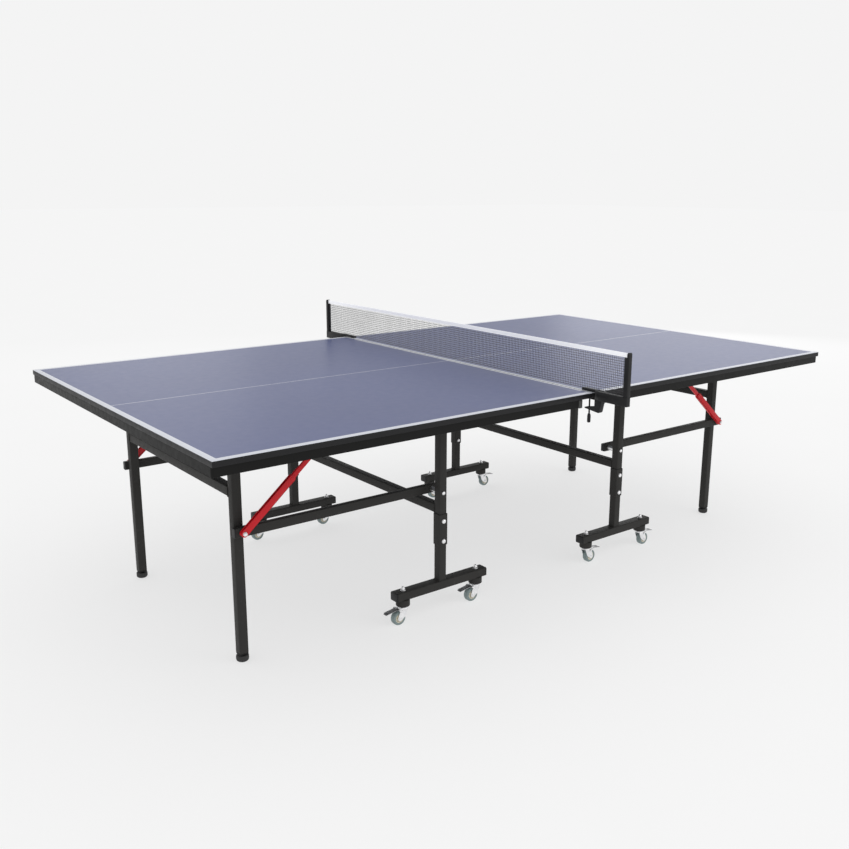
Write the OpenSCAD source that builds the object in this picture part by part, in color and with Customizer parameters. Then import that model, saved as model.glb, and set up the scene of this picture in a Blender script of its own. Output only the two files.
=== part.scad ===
// Folding ping pong table: two halves on wheeled carts, with a clamp-on net set.
// X runs along the length, Y across the width and Z up; the net stands at X = 0.
// A half is drawn for the right side (X > 0) and mirrored for the left; parts that
// the near and far sides share are drawn for the far side (Y > 0) and mirrored.

/* [Playing surface] */
// Overall length of both halves together
table_length = 2740; // [2600:10:2800]
// Width of the playing surface
table_width = 1525; // [1400:5:1600]
// Height of the playing surface above the floor
table_height = 760; // [758:1:766]
// Thickness of each board
board_thickness = 18; // [16:1:20]
// Gap between the two boards under the net
half_gap = 6; // [6:1:12]

/* [Apron frame] */
// Depth of the steel apron below the board
apron_depth = 27; // [25:1:27]
// Setback of the apron behind the board's long edges
apron_recess = 5; // [2:1:10]
// Distance from the net line to the start of the apron
apron_start = 47; // [40:1:80]
// Radius of the apron's two outer corners
apron_corner = 9; // [4:1:16]
// Height of the cross members under the board
member_height = 20; // [16:1:22]

/* [Tubes] */
// Side of the square tube of legs, uprights and rails
tube = 30; // [28:1:32]
// Wall thickness of all tubes
wall = 1.5; // [1.2:0.1:2.5]
// Width of the tie bars across the table
tie_width = 20; // [16:1:22]
// Width of the caster beams across the table
beam_width = 40; // [36:1:44]
// Length of each caster beam without its end caps
beam_length = 382; // [380:2:440]

/* [Linkage] */
// Distance from the net line to the cart's uprights
upright_x = 440; // [420:5:460]
// Distance from the centre line to the cart's uprights
upright_y = 500; // [498:1:506]
// Distance from the net line to the end legs
leg_x = 1145; // [1100:5:1180]
// Distance from the centre line to the end legs
leg_y = 410; // [405:1:410]
// Height of the pivots under the board
fold_z = 698; // [696:1:698]
// Height of the tie bar pivots
tie_z = 430; // [420:5:440]
// Length of the brace's lower link between its pivots
brace_lower_length = 215; // [205:5:240]

/* [Casters] */
// Diameter of the caster wheels
wheel_d = 50; // [46:1:50]
// Width of the caster wheels
wheel_w = 20; // [16:1:20]
// Distance that each wheel trails behind its stem
caster_trail = 20; // [16:1:22]
// Distance between the two stems of one beam
stem_spacing = 316; // [280:4:328]

/* [Net set] */
// Height of the net above the board
net_height = 152.5; // [140:0.5:160]
// Distance that the net reaches past the board's side edge
net_overhang = 152.5; // [140:0.5:160]
// Thickness of the net with its bands
net_thickness = 2; // [1:0.5:4]

/* [Hidden] */

$fn = 48;
LEFT = -1;
RIGHT = 1;
NEAR = -1;
FAR = 1;
INNER = -1;
OUTER = 1;

over = 1;                 // how far a cut runs past the face it opens
fit = 0.1;                // radial running clearance of a pin in its bore
steel_black = "#26282a";
plastic_black = "#1b1c1e";
zinc = "#c9ccce";

half_length = table_length / 2;
half_width = table_width / 2;
board_bottom = table_height - board_thickness;
apron_bottom = board_bottom - apron_depth;
member_bottom = board_bottom - member_height;
apron_half = half_width - apron_recess;
apron_wall = 2;
apron_flange = 20;
member_width = 40;
member_half = apron_half - apron_flange + over;

pin_r = 5;                // fold and leg pivot pins, caster stems, foot stems
bolt_r = 4;               // tie, brace and sleeve bolts, wheel axles
ear_gap = 1.5;            // clearance between a tube and its bracket ears
ear_t = 4;
head_t = 3.5;

tie_gap = 6;              // room between leg and tie bar for the foot when folded
tie_y = leg_y + tube / 2 + tie_gap + tie_width / 2;
tie_outer = tie_y + tie_width / 2;
tie_overrun = 25;

brace_y = tie_outer + 9;
brace_depth = 14;
brace_sheet = 2.5;
brace_w = 22;
brace_top_x = 800;
brace_top_z = board_bottom - 17;
brace_run_x = leg_x - brace_top_x;
brace_run_z = brace_top_z - tie_z;
brace_length = sqrt(brace_run_x * brace_run_x + brace_run_z * brace_run_z);
brace_angle = 180 - atan2(brace_run_z, brace_run_x);
brace_upper_length = brace_length - brace_lower_length;
link_w = 16;
link_t = 8;
knee_r = 3.5;

beam_h = 30;
beam_top = 117;
beam_bottom = beam_top - beam_h;
boss_r = 24;
boss_bottom = 65;
cap_t = 4;
cap_plug = 14;
sleeve_side = 36;
sleeve_inner = tube + 0.6;
sleeve_bottom = 245;
sleeve_top = 356;
tube_joint_z = 302;
sleeve_bolt_z = [260, 331];
upright_rail_z = 372;
leg_rail_z = 545;
leg_bottom = 24;

foot_r = 20;
foot_h = 21;
foot_stem_top = 40;

wheel_r = wheel_d / 2;
crown_bottom = 55.8;
crown_t = 4.9;
fork_gap = wheel_w / 2 + 1.5;
fork_t = 2.5;
fork_outer = fork_gap + fork_t;
pedal_pivot = [14, 50];
pedal_r = 2.5;

net_post_t = 16;
net_post_w = 17;
net_post_outer = half_width + net_overhang;
net_post_inner = net_post_outer - net_post_w;
net_post_top = table_height + net_height + 2;
net_top = table_height + net_height;
tape_h = 15;              // height of the band along the net's top
tape_lap = 8;             // how far the band reaches over the post's shoulder
tongue_t = 8;
clamp_lift = 0.5;         // pad between the clamp's tongue and the board
clamp_top = table_height + clamp_lift + tongue_t;
net_bottom = clamp_top + 1;
arm_half = 9;
clamp_start = half_gap / 2;   // the clamps grip the right half only
clamp_width = 18;
clamp_x = clamp_start + clamp_width / 2;
clamp_gap = 3.5;          // clearance between the clamp and the board's side
tongue_reach = 56;        // how far the tongue lies over the board
jaw_reach = 40;           // how far the lower jaw lies under the board
arm_bottom = table_height - 22;
tenon = 9;                // side of the post's tenon in the arm
tenon_h = 20;

screw_y = half_width - 26;
screw_r = 3;
screw_pad_r = 7;
screw_pad_t = 3;
screw_top = board_bottom - 0.3;
knob_r = 6;
knob_top = 682;
knob_bottom = 651;

// ---------- placing helpers ----------

module half(side) {
    if (side > 0)
        children();
    else
        mirror([1, 0, 0]) children();
}

module side_y(side) {
    if (side > 0)
        children();
    else
        mirror([0, 1, 0]) children();
}

module near_and_far() {
    children();
    mirror([0, 1, 0]) children();
}

// Square or rectangular tube along X from the origin, centred on the axis.
module tube_x(length, width, height) {
    difference() {
        translate([0, -width / 2, -height / 2])
            cube([length, width, height]);
        translate([-over, -width / 2 + wall, -height / 2 + wall])
            cube([length + 2 * over, width - 2 * wall, height - 2 * wall]);
    }
}

module tube_y(length, width, height) {
    rotate([0, 0, 90]) tube_x(length, width, height);
}

module tube_z(length, width, height) {
    rotate([0, -90, 0]) tube_x(length, height, width);
}

// Round bar along Y from y0 to y1, through the point (x, z).
module bar_y(x, z, y0, y1, r) {
    translate([x, y1, z])
        rotate([90, 0, 0]) cylinder(r = r, h = y1 - y0);
}

// Plate across Y whose lower end is round about (x, z) and whose top is at z_top.
module ear(x, z, y0, y1, r, z_top) {
    bar_y(x, z, y0, y1, r);
    translate([x - r, y0, z])
        cube([2 * r, y1 - y0, z_top - z]);
}

// ---------- board and apron ----------

module tabletop() {
    color("#3a4a86")
        translate([half_gap / 2, -half_width, board_bottom])
            cube([half_length - half_gap / 2, table_width, board_thickness]);
}

// Outline of the apron, drawn in by a distance, with its two end corners round.
module apron_outline(inset) {
    r = max(apron_corner - inset, 1);
    x0 = apron_start + inset;
    x1 = half_length - inset;
    y = apron_half - inset;
    translate([x0, -y])
        square([x1 - r - x0, 2 * y]);
    translate([x0, -y + r])
        square([x1 - x0, 2 * (y - r)]);
    for (s = [-1, 1])
        translate([x1 - r, s * (y - r)]) circle(r = r);
}

// Angle-section frame: an upright skin with a flange under the board.
module apron_ring() {
    difference() {
        translate([0, 0, apron_bottom])
            linear_extrude(apron_depth) apron_outline(0);
        translate([0, 0, apron_bottom - over])
            linear_extrude(apron_depth + over - apron_wall) apron_outline(apron_wall);
        translate([0, 0, apron_bottom - over])
            linear_extrude(apron_depth + 2 * over) apron_outline(apron_flange);
        translate([apron_start - over, -member_half, apron_bottom - over])
            cube([apron_wall + 2 * over, 2 * member_half, member_bottom - apron_bottom + over]);
    }
}

module cross_member(x) {
    translate([x, -member_half, member_bottom + member_height / 2])
        tube_y(2 * member_half, member_width, member_height);
}

// Flat strip under the board that carries the brace's upper bracket.
module brace_strip() {
    strip_t = 3;
    strip_half = brace_depth / 2 + 4;
    ear_r = 9;
    x0 = upright_x + member_width / 2 - over;
    x1 = leg_x - member_width / 2 + over;
    translate([x0, brace_y - strip_half, board_bottom - strip_t])
        cube([x1 - x0, 2 * strip_half, strip_t]);
    for (s = [-1, 1])
        translate([0, brace_y + s * (link_t / 2 + 2.5), 0]) {
            ear(brace_top_x, brace_top_z, -1.25, 1.25, ear_r, board_bottom - 1);
            bar_y(brace_top_x, brace_top_z, s > 0 ? 0 : -4, s > 0 ? 4 : 0, 6);
        }
}

// Two ears that hang from a cross member beside a tube, with a bore for the pin.
module pivot_ears(x, y) {
    inner = tube / 2 + ear_gap;
    for (y0 = [y - inner - ear_t, y + inner])
        difference() {
            ear(x, fold_z, y0, y0 + ear_t, tube / 2, member_bottom + over);
            bar_y(x, fold_z, y0 - over, y0 + ear_t + over, pin_r + fit);
        }
}

module apron_frame() {
    color(steel_black) {
        apron_ring();
        cross_member(upright_x);
        cross_member(leg_x);
        near_and_far() {
            brace_strip();
            pivot_ears(upright_x, upright_y);
            pivot_ears(leg_x, leg_y);
        }
    }
}

// Pin with a head at each end that holds a tube between its two ears.
module pivot_pin(x, y) {
    reach = tube / 2 + ear_gap + ear_t;
    head_r = 8;
    bar_y(x, fold_z, y - reach - head_t, y + reach + head_t, pin_r);
    bar_y(x, fold_z, y - reach - head_t, y - reach - fit, head_r);
    bar_y(x, fold_z, y + reach + fit, y + reach + head_t, head_r);
}

module pivot_pins() {
    color(zinc)
        near_and_far() {
            pivot_pin(upright_x, upright_y);
            pivot_pin(leg_x, leg_y);
        }
}

// ---------- wheeled cart ----------

// Tube that ends in a plug rounded about the pin at its top.
module pinned_tube(x, y, z0) {
    plug_h = 20;
    translate([x, y, z0])
        tube_z(fold_z - z0, tube, tube);
    translate([x - tube / 2, y - tube / 2, fold_z - plug_h])
        cube([tube, tube, plug_h]);
    bar_y(x, fold_z, y - tube / 2, y + tube / 2, tube / 2);
}

module bolt_hole(x, z, y, r) {
    bar_y(x, z, y - tube, y + tube, r + fit);
}

module upright_frame() {
    color(steel_black)
        difference() {
            union() {
                near_and_far()
                    pinned_tube(upright_x, upright_y, tube_joint_z);
                translate([upright_x, -upright_y + tube / 2 - over, upright_rail_z])
                    tube_y(2 * upright_y - tube + 2 * over, tube, tube);
            }
            near_and_far() {
                bolt_hole(upright_x, fold_z, upright_y, pin_r);
                bolt_hole(upright_x, tie_z, upright_y, bolt_r);
                bolt_hole(upright_x, sleeve_bolt_z[1], upright_y, bolt_r);
            }
        }
}

module at_stems() {
    for (s = [-1, 1])
        translate([upright_x + s * stem_spacing / 2, upright_y, 0]) children();
}

// T-shaped foot of the cart: a beam, its upright stub and a boss over each caster.
module caster_beam() {
    difference() {
        union() {
            translate([upright_x - beam_length / 2, upright_y, beam_top - beam_h / 2])
                tube_x(beam_length, beam_width, beam_h);
            translate([upright_x, upright_y, beam_top - over])
                tube_z(tube_joint_z - beam_top + over - 0.5, tube, tube);
            at_stems()
                translate([0, 0, boss_bottom])
                    cylinder(r = boss_r, h = beam_bottom - boss_bottom + wall);
        }
        at_stems()
            translate([0, 0, boss_bottom - over])
                cylinder(r = pin_r + fit, h = beam_top - boss_bottom + 2 * over);
        bolt_hole(upright_x, sleeve_bolt_z[0], upright_y, bolt_r);
    }
}

module caster_beams() {
    color(steel_black) near_and_far() caster_beam();
}

module joiner_sleeve() {
    difference() {
        translate([-sleeve_side / 2, -sleeve_side / 2, 0])
            cube([sleeve_side, sleeve_side, sleeve_top - sleeve_bottom]);
        translate([-sleeve_inner / 2, -sleeve_inner / 2, -over])
            cube([sleeve_inner, sleeve_inner, sleeve_top - sleeve_bottom + 2 * over]);
        for (z = sleeve_bolt_z)
            bar_y(0, z - sleeve_bottom, -tube, tube, bolt_r + fit);
    }
}

module joiner_sleeves() {
    color(steel_black)
        near_and_far()
            translate([upright_x, upright_y, sleeve_bottom]) joiner_sleeve();
}

// Plastic plug with a plate that closes one end of a beam.
module beam_end_cap() {
    plug_w = beam_width - 2 * wall - 0.4;
    plug_h = beam_h - 2 * wall - 0.4;
    translate([0, -beam_width / 2, -beam_h / 2])
        cube([cap_t, beam_width, beam_h]);
    translate([-cap_plug, -plug_w / 2, -plug_h / 2])
        cube([cap_plug, plug_w, plug_h]);
}

module beam_end_caps() {
    color(plastic_black)
        near_and_far()
            translate([upright_x, upright_y, beam_top - beam_h / 2])
                for (turn = [0, 180])
                    rotate([0, 0, turn])
                        translate([beam_length / 2, 0, 0]) beam_end_cap();
}

// Bolt through the sleeve, with its head outward and a nut inward.
module sleeve_bolt(z) {
    face = sleeve_side / 2;
    head_r = 8;
    nut_r = 7;
    nut_t = 5;
    translate([upright_x, upright_y, 0]) {
        bar_y(0, z, -face - nut_t, face + nut_t, bolt_r);
        bar_y(0, z, face, face + nut_t, head_r);
        bar_y(0, z, -face - nut_t, -face, nut_r);
    }
}

// Bolt through the upright, a spacer and the tie bar.
module tie_bolt() {
    outer = upright_y + tube / 2;
    inner = tie_y - tie_width / 2 - 0.3;
    head_r = 6.5;
    nut_t = 5;
    bar_y(upright_x, tie_z, inner - nut_t, outer + nut_t, bolt_r);
    bar_y(upright_x, tie_z, outer, outer + nut_t, head_r);
    bar_y(upright_x, tie_z, inner - nut_t, inner, head_r);
}

module tie_spacer() {
    spacer_r = 9;
    y0 = tie_outer + 0.3;
    y1 = upright_y - tube / 2;
    difference() {
        bar_y(upright_x, tie_z, y0, y1, spacer_r);
        bar_y(upright_x, tie_z, y0 - over, y1 + over, bolt_r + fit);
    }
}

// Stem of one caster: a flange under the boss, a cap nut above the beam and a
// rivet head that carries the swivelling crown.
module caster_stem() {
    flange_t = 3.8;
    flange_r = 18;
    rivet_r = 8;
    rivet_t = 3;
    nut_r = 9;
    nut_t = 8;
    dome_r = 6.5;
    rivet_top = crown_bottom - 0.3;
    translate([0, 0, rivet_top - rivet_t])
        cylinder(r = rivet_r, h = rivet_t);
    translate([0, 0, rivet_top - rivet_t])
        cylinder(r = pin_r, h = beam_top + nut_t - rivet_top + rivet_t);
    translate([0, 0, boss_bottom - flange_t])
        cylinder(r = flange_r, h = flange_t);
    translate([0, 0, beam_top])
        cylinder(r = nut_r, h = nut_t, $fn = 6);
    translate([0, 0, beam_top + nut_t])
        sphere(r = dome_r);
}

module cart_bolts() {
    color(zinc)
        near_and_far() {
            for (z = sleeve_bolt_z)
                sleeve_bolt(z);
            tie_bolt();
            tie_spacer();
            at_stems() caster_stem();
        }
}

// ---------- casters ----------

// Each caster is drawn at its stem's axis with its wheel trailing along +X.
module fork_cheek() {
    crown_top = crown_bottom + crown_t;
    lobe_r = 9;
    rotate([90, 0, 0])
        linear_extrude(fork_t) {
            polygon([
                [-12, crown_top], [16, crown_top], [caster_trail + lobe_r, wheel_r],
                [caster_trail - 5, wheel_r - 7], [caster_trail - 21, wheel_r + 4]
            ]);
            translate([caster_trail, wheel_r]) circle(r = lobe_r);
        }
}

module caster_fork() {
    crown_r = 17;
    axle_head_r = 6.5;
    axle_reach = fork_outer + 2.5;
    stud_reach = fork_outer + 3.2;
    color(zinc) {
        difference() {
            translate([0, 0, crown_bottom])
                cylinder(r = crown_r, h = crown_t);
            translate([0, 0, crown_bottom - over])
                cylinder(r = pin_r + fit, h = crown_t + 2 * over);
        }
        for (s = [-1, 1])
            translate([0, s * (fork_gap + fork_t / 2) + fork_t / 2, 0]) fork_cheek();
        bar_y(caster_trail, wheel_r, -axle_reach, axle_reach, bolt_r);
        near_and_far() {
            bar_y(caster_trail, wheel_r, fork_outer - over, axle_reach, axle_head_r);
            bar_y(pedal_pivot[0], pedal_pivot[1], fork_outer - over, stud_reach, pedal_r);
        }
    }
}

module caster_wheel() {
    edge = 3;
    w = wheel_w / 2;
    hub_r = wheel_r * 0.64;
    dish = 2;
    bore = bolt_r + fit;
    color("#7c8784")
        translate([caster_trail, 0, wheel_r])
            rotate([90, 0, 0])
                rotate_extrude()
                    polygon([
                        [bore, -w], [bore + 3, -w], [bore + 3, dish - w], [hub_r, dish - w],
                        [hub_r, -w], [wheel_r - edge, -w], [wheel_r - 1, 2 - w], [wheel_r, 5 - w],
                        [wheel_r, w - 5], [wheel_r - 1, w - 2], [wheel_r - edge, w], [hub_r, w],
                        [hub_r, w - dish], [bore + 3, w - dish], [bore + 3, w], [bore, w]
                    ]);
}

// Foot pedal that presses down on the wheel, with an ear on each side of the fork.
module brake_pedal() {
    ear_side = fork_outer + 0.5;
    ear_thick = 2;
    wide = ear_side + ear_thick;
    narrow = 11;
    x0 = 19;
    x1 = 34;
    x2 = 74;
    z0 = 60.4;
    drop = 8;
    sheet = 2.4;
    slope = atan2(drop, x2 - x0);
    length = x2 - x0;
    color("#55585a") {
        translate([x0, 0, z0])
            rotate([0, slope, 0]) {
                translate([0, -wide, -sheet])
                    cube([x1 - x0, 2 * wide, sheet]);
                translate([0, -narrow, -sheet])
                    cube([length, 2 * narrow, sheet]);
            }
        near_and_far()
            difference() {
                translate([0, wide, 0])
                    rotate([90, 0, 0])
                        linear_extrude(ear_thick) {
                            polygon([
                                [pedal_pivot[0] - 4, pedal_pivot[1] - 3],
                                [pedal_pivot[0] + 4, pedal_pivot[1] - 4],
                                [x1 - 2, z0 - 3.6], [x0 + 0.3, z0 - 1]
                            ]);
                            translate(pedal_pivot) circle(r = 5);
                        }
                bar_y(pedal_pivot[0], pedal_pivot[1], 0, wide + over, pedal_r + fit);
            }
    }
}

module at_caster(side, across, along) {
    half(side)
        side_y(across)
            translate([upright_x + along * stem_spacing / 2, upright_y, 0]) children();
}

// ---------- end legs ----------

// Bolt stud on the leg's outer face that the tie bar and the brace turn on.
module leg_stud() {
    face = leg_y + tube / 2;
    nut_y = brace_y + brace_depth / 2 + 0.8;
    bar_y(leg_x, tie_z, face - over, nut_y + 6, bolt_r);
    bar_y(leg_x, tie_z, face - over, face + tie_gap - 0.3, 9);
    bar_y(leg_x, tie_z, nut_y, nut_y + 6, 7);
}

module leg_frame() {
    insert_h = 24;
    color(steel_black)
        difference() {
            union() {
                near_and_far() {
                    pinned_tube(leg_x, leg_y, leg_bottom);
                    translate([leg_x - tube / 2, leg_y - tube / 2, leg_bottom])
                        cube([tube, tube, insert_h]);
                    leg_stud();
                }
                translate([leg_x, -leg_y + tube / 2 - over, leg_rail_z])
                    tube_y(2 * leg_y - tube + 2 * over, tube, tube);
            }
            near_and_far() {
                bolt_hole(leg_x, fold_z, leg_y, pin_r);
                translate([leg_x, leg_y, leg_bottom - over])
                    cylinder(r = pin_r + fit, h = insert_h + 2 * over);
            }
        }
}

module foot() {
    color(plastic_black)
        translate([leg_x, leg_y, 0]) {
            rotate_extrude()
                polygon([
                    [0, 0], [foot_r - 6, 0], [foot_r - 2, 2.5], [foot_r, 7],
                    [foot_r, foot_h - 5], [foot_r - 2, foot_h], [0, foot_h]
                ]);
            cylinder(r = pin_r, h = foot_stem_top);
        }
}

// ---------- tie bars and braces ----------

module tie_bar() {
    x0 = upright_x - tie_overrun + 5;
    x1 = leg_x + tie_overrun;
    difference() {
        translate([x0, tie_y, tie_z])
            tube_x(x1 - x0, tie_width, tube);
        for (x = [upright_x, leg_x])
            bar_y(x, tie_z, tie_y - tie_width, tie_y + tie_width, bolt_r + fit);
    }
}

module tie_bars() {
    color(steel_black) near_and_far() tie_bar();
}

// Places a link along the brace's line, at a distance from its lower pivot.
module along_brace(distance) {
    translate([leg_x, brace_y, tie_z])
        rotate([0, -brace_angle, 0])
            translate([distance, 0, 0]) children();
}

// Channel-section lower link: two flanges joined by a web on the floor side.
module brace_lower_link() {
    flange_in = brace_depth / 2 - brace_sheet;
    web_start = 12;
    head_gap = 0.6;
    along_brace(0) {
        difference() {
            union() {
                near_and_far() {
                    translate([0, flange_in, -brace_w / 2])
                        cube([brace_lower_length, brace_sheet, brace_w]);
                    bar_y(0, 0, flange_in, brace_depth / 2, brace_w / 2);
                    bar_y(brace_lower_length, 0, flange_in, brace_depth / 2, brace_w / 2);
                }
                translate([web_start, -brace_depth / 2, brace_w / 2 - 2])
                    cube([brace_lower_length - web_start, brace_depth, 2]);
            }
            bar_y(0, 0, -brace_depth, brace_depth, bolt_r + fit);
        }
        bar_y(brace_lower_length, 0, -brace_depth / 2 - 1.4, brace_depth / 2 + 1.4, knee_r);
        near_and_far()
            bar_y(brace_lower_length, 0, brace_depth / 2 - head_gap, brace_depth / 2 + 1.4, 6);
    }
}

module brace_lower_links() {
    color("#c4202f") near_and_far() brace_lower_link();
}

// Flat upper link that folds into the channel.
module brace_upper_link() {
    along_brace(brace_lower_length)
        difference() {
            union() {
                translate([0, -link_t / 2, -link_w / 2])
                    cube([brace_upper_length, link_t, link_w]);
                for (x = [0, brace_upper_length])
                    bar_y(x, 0, -link_t / 2, link_t / 2, link_w / 2);
            }
            bar_y(0, 0, -link_t, link_t, knee_r + fit);
            bar_y(brace_upper_length, 0, -link_t, link_t, bolt_r + fit);
        }
}

module brace_upper_links() {
    color("#c4202f") near_and_far() brace_upper_link();
}

// ---------- net set ----------

// Net with its bands; the top band reaches over the shoulder of each post.
module net() {
    lap_y = net_post_inner + tape_lap - 0.3;
    lap_z = net_top - tape_h + 0.5;
    color("#30343f")
        translate([-net_thickness / 2, 0, 0])
            rotate([90, 0, 90])
                linear_extrude(net_thickness)
                    polygon([
                        [-net_post_inner, net_bottom], [net_post_inner, net_bottom],
                        [net_post_inner, lap_z], [lap_y, lap_z], [lap_y, net_top],
                        [-lap_y, net_top], [-lap_y, lap_z], [-net_post_inner, lap_z]
                    ]);
}

// Post with a low shoulder toward the net and a tenon that stands in the arm.
module net_post() {
    shoulder = net_top - tape_h;
    color(plastic_black) {
        translate([-net_post_t / 2, 0, 0])
            rotate([90, 0, 90])
                linear_extrude(net_post_t)
                    polygon([
                        [net_post_inner, clamp_top], [net_post_outer, clamp_top],
                        [net_post_outer, net_post_top - 5], [net_post_outer - 3, net_post_top],
                        [net_post_outer - 6, net_post_top], [net_post_inner + tape_lap, net_top - 3],
                        [net_post_inner + tape_lap, shoulder], [net_post_inner, shoulder]
                    ]);
        translate([-tenon / 2, net_post_inner + 4, clamp_top - tenon_h])
            cube([tenon, tenon, tenon_h + over]);
    }
}

// C-shaped clamp on the right board's corner, with a tongue over the board and a jaw
// under it. Its arm tapers back to the middle line to carry the post there.
module net_clamp() {
    inner = half_width + clamp_gap;
    tip = half_width - tongue_reach;
    jaw_tip = half_width - jaw_reach;
    slack = 0.2;
    block = 30;
    far_x = clamp_start + clamp_width;
    color(plastic_black)
        difference() {
            union() {
                translate([clamp_start, 0, 0])
                    rotate([90, 0, 90])
                        linear_extrude(clamp_width)
                            polygon([
                                [tip, table_height + clamp_lift], [tip, clamp_top - 1],
                                [tip + 1, clamp_top], [inner + block, clamp_top],
                                [inner + block, board_bottom - 14],
                                [inner + 23, board_bottom - 45],
                                [inner + 19, board_bottom - 49], [jaw_tip, board_bottom - 42],
                                [jaw_tip, board_bottom - 38], [inner, board_bottom - 30],
                                [inner, table_height + clamp_lift]
                            ]);
                translate([0, 0, arm_bottom])
                    linear_extrude(clamp_top - arm_bottom)
                        polygon([
                            [clamp_start, inner], [far_x, inner], [far_x, inner + block],
                            [arm_half, inner + 2 * block], [arm_half, net_post_outer],
                            [-arm_half, net_post_outer], [-arm_half, inner + block]
                        ]);
            }
            translate([clamp_x, screw_y, board_bottom - 60])
                cylinder(r = screw_r + fit, h = 40);
            translate([-tenon / 2 - slack, net_post_inner + 4 - slack, clamp_top - tenon_h - slack])
                cube([tenon + 2 * slack, tenon + 2 * slack, tenon_h + slack + over]);
        }
}

// Spindle through the lower jaw, with a pad under the board and a knob below.
module clamp_screw() {
    color(plastic_black)
        translate([clamp_x, screw_y, 0]) {
            translate([0, 0, knob_bottom + over])
                cylinder(r = screw_r, h = screw_top - knob_bottom - over);
            translate([0, 0, screw_top - screw_pad_t])
                cylinder(r = screw_pad_r, h = screw_pad_t);
            rotate_extrude()
                polygon([
                    [0, knob_bottom], [knob_r - 2, knob_bottom], [knob_r, knob_bottom + 2],
                    [knob_r, knob_top - 6], [knob_r - 2, knob_top], [0, knob_top]
                ]);
        }
}

// ---------- nodes ----------

half(LEFT) tabletop();  // left_tabletop
half(RIGHT) tabletop();  // right_tabletop
half(LEFT) apron_frame();  // left_apron_frame
half(RIGHT) apron_frame();  // right_apron_frame
half(LEFT) pivot_pins();  // left_pivot_pins
half(RIGHT) pivot_pins();  // right_pivot_pins
half(LEFT) upright_frame();  // left_upright_frame
half(RIGHT) upright_frame();  // right_upright_frame
half(LEFT) caster_beams();  // left_caster_beams
half(RIGHT) caster_beams();  // right_caster_beams
half(LEFT) joiner_sleeves();  // left_joiner_sleeves
half(RIGHT) joiner_sleeves();  // right_joiner_sleeves
half(LEFT) beam_end_caps();  // left_beam_end_caps
half(RIGHT) beam_end_caps();  // right_beam_end_caps
half(LEFT) cart_bolts();  // left_cart_bolts
half(RIGHT) cart_bolts();  // right_cart_bolts
half(LEFT) leg_frame();  // left_leg_frame
half(RIGHT) leg_frame();  // right_leg_frame
half(LEFT) tie_bars();  // left_tie_bars
half(RIGHT) tie_bars();  // right_tie_bars
half(LEFT) brace_lower_links();  // left_brace_lower_links
half(RIGHT) brace_lower_links();  // right_brace_lower_links
half(LEFT) brace_upper_links();  // left_brace_upper_links
half(RIGHT) brace_upper_links();  // right_brace_upper_links
half(LEFT) side_y(NEAR) foot();  // left_near_foot
half(LEFT) side_y(FAR) foot();  // left_far_foot
half(RIGHT) side_y(NEAR) foot();  // right_near_foot
half(RIGHT) side_y(FAR) foot();  // right_far_foot
at_caster(LEFT, NEAR, INNER) caster_fork();  // left_near_inner_fork
at_caster(LEFT, NEAR, OUTER) caster_fork();  // left_near_outer_fork
at_caster(LEFT, FAR, INNER) caster_fork();  // left_far_inner_fork
at_caster(LEFT, FAR, OUTER) caster_fork();  // left_far_outer_fork
at_caster(RIGHT, NEAR, INNER) caster_fork();  // right_near_inner_fork
at_caster(RIGHT, NEAR, OUTER) caster_fork();  // right_near_outer_fork
at_caster(RIGHT, FAR, INNER) caster_fork();  // right_far_inner_fork
at_caster(RIGHT, FAR, OUTER) caster_fork();  // right_far_outer_fork
at_caster(LEFT, NEAR, INNER) caster_wheel();  // left_near_inner_wheel
at_caster(LEFT, NEAR, OUTER) caster_wheel();  // left_near_outer_wheel
at_caster(LEFT, FAR, INNER) caster_wheel();  // left_far_inner_wheel
at_caster(LEFT, FAR, OUTER) caster_wheel();  // left_far_outer_wheel
at_caster(RIGHT, NEAR, INNER) caster_wheel();  // right_near_inner_wheel
at_caster(RIGHT, NEAR, OUTER) caster_wheel();  // right_near_outer_wheel
at_caster(RIGHT, FAR, INNER) caster_wheel();  // right_far_inner_wheel
at_caster(RIGHT, FAR, OUTER) caster_wheel();  // right_far_outer_wheel
at_caster(LEFT, NEAR, INNER) brake_pedal();  // left_near_inner_brake
at_caster(LEFT, NEAR, OUTER) brake_pedal();  // left_near_outer_brake
at_caster(LEFT, FAR, INNER) brake_pedal();  // left_far_inner_brake
at_caster(LEFT, FAR, OUTER) brake_pedal();  // left_far_outer_brake
at_caster(RIGHT, NEAR, INNER) brake_pedal();  // right_near_inner_brake
at_caster(RIGHT, NEAR, OUTER) brake_pedal();  // right_near_outer_brake
at_caster(RIGHT, FAR, INNER) brake_pedal();  // right_far_inner_brake
at_caster(RIGHT, FAR, OUTER) brake_pedal();  // right_far_outer_brake
net();
side_y(NEAR) net_post();  // near_net_post
side_y(FAR) net_post();  // far_net_post
side_y(NEAR) net_clamp();  // near_net_clamp
side_y(FAR) net_clamp();  // far_net_clamp
side_y(NEAR) clamp_screw();  // near_clamp_screw
side_y(FAR) clamp_screw();  // far_clamp_screw
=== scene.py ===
"""Folding ping pong table: the visual model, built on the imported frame.

Lengths in the shape code are millimetres; every mesh is scaled to metres when it is made.
Shapes are drawn for the right half (X > 0) and its far side (Y > 0), then mirrored.
"""

import math
import random

import bmesh
import bpy
from mathutils import Matrix, Vector


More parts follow.
